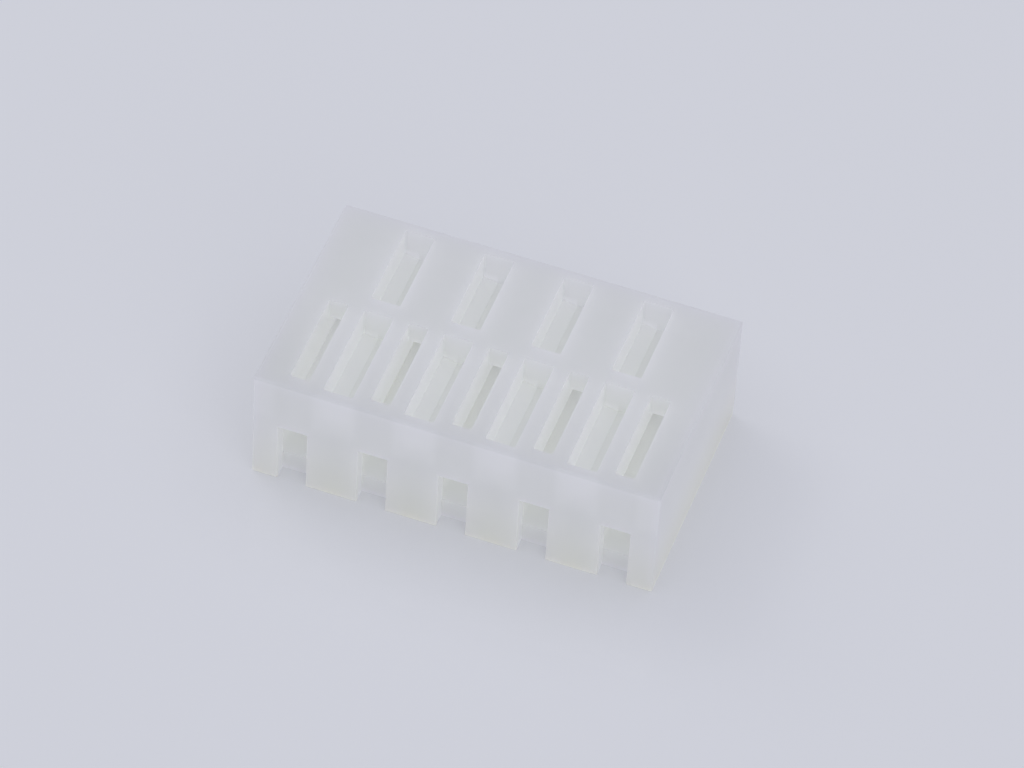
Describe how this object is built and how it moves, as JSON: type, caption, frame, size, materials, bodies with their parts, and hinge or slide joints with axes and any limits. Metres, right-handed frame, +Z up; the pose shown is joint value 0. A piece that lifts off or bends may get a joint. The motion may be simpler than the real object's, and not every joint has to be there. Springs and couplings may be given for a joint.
{
  "type": "wire to board connector housing",
  "caption": "Single-row crimp terminal housing in natural nylon, with locking windows, cored partitions, pin entries at the front and wire openings at the back.",
  "frame": {"origin": "centre of the underside of the housing", "axes": "+X along the row of circuits, +Y from the mating face towards the wires, +Z up through the face with the locking windows"},
  "size_m": [0.0198, 0.012, 0.0065],
  "materials": {
    "nylon": "translucent natural, satin"
  },
  "bodies": {
    "root": {"housing": "nylon"}
  },
  "joints": []
}
